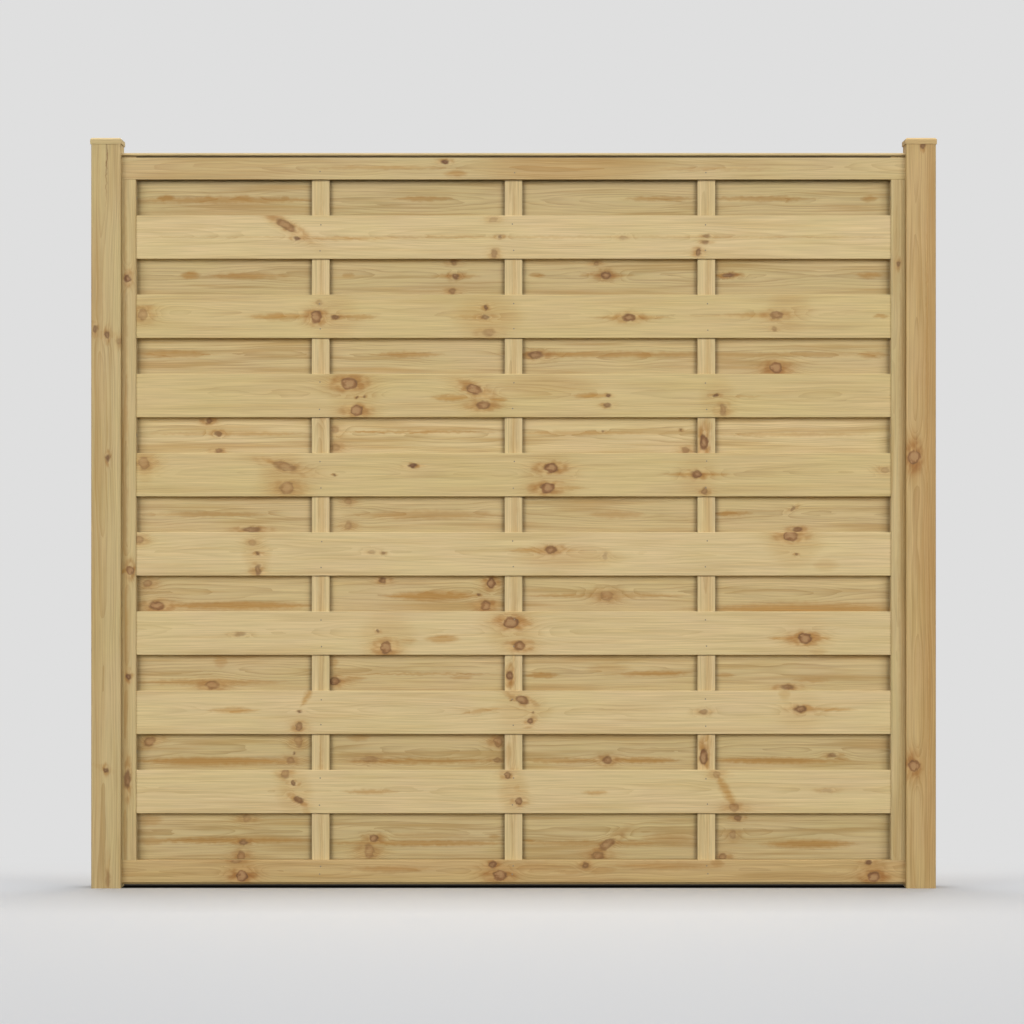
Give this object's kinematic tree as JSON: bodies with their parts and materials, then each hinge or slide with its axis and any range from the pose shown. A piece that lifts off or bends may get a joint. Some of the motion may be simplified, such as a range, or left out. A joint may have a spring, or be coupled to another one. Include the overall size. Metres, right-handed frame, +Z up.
{
  "type": "wooden fence panel",
  "caption": "Hit-and-miss wooden fence panel: horizontal slats on both faces of a batten core, framed by rails and stiles, between square posts with flat caps.",
  "frame": {"origin": "on the ground, midway between the posts and on the panel's middle plane", "axes": "+X along the fence to the viewer's right, -Y the front face, +Z up"},
  "size_m": [1.94, 0.072, 1.72],
  "materials": {
    "post_timber": "planed",
    "frame_timber": "planed",
    "core_timber": "planed",
    "slat_timber": "planed",
    "fixing_steel": "zinc plated"
  },
  "bodies": {
    "root": {"left_post": "post_timber", "right_post": "post_timber", "left_post_cap": "post_timber", "right_post_cap": "post_timber", "top_capping": "frame_timber", "front_top_rail": "frame_timber", "front_bottom_rail": "frame_timber", "back_top_rail": "frame_timber", "back_bottom_rail": "frame_timber", "front_left_stile": "frame_timber", "front_right_stile": "frame_timber", "back_left_stile": "frame_timber", "back_right_stile": "frame_timber", "core_top_rail": "core_timber", "core_bottom_rail": "core_timber", "left_end_batten": "core_timber", "right_end_batten": "core_timber", "batten_1": "core_timber", "batten_2": "core_timber", "batten_3": "core_timber", "front_slat_1": "slat_timber", "front_slat_2": "slat_timber", "front_slat_3": "slat_timber", "front_slat_4": "slat_timber", "front_slat_5": "slat_timber", "front_slat_6": "slat_timber", "front_slat_7": "slat_timber", "front_slat_8": "slat_timber", "back_slat_1": "slat_timber", "back_slat_2": "slat_timber", "back_slat_3": "slat_timber", "back_slat_4": "slat_timber", "back_slat_5": "slat_timber", "back_slat_6": "slat_timber", "back_slat_7": "slat_timber", "back_slat_8": "slat_timber", "back_slat_9": "slat_timber", "left_fixing_screws": "fixing_steel", "right_fixing_screws": "fixing_steel"}
  },
  "joints": []
}
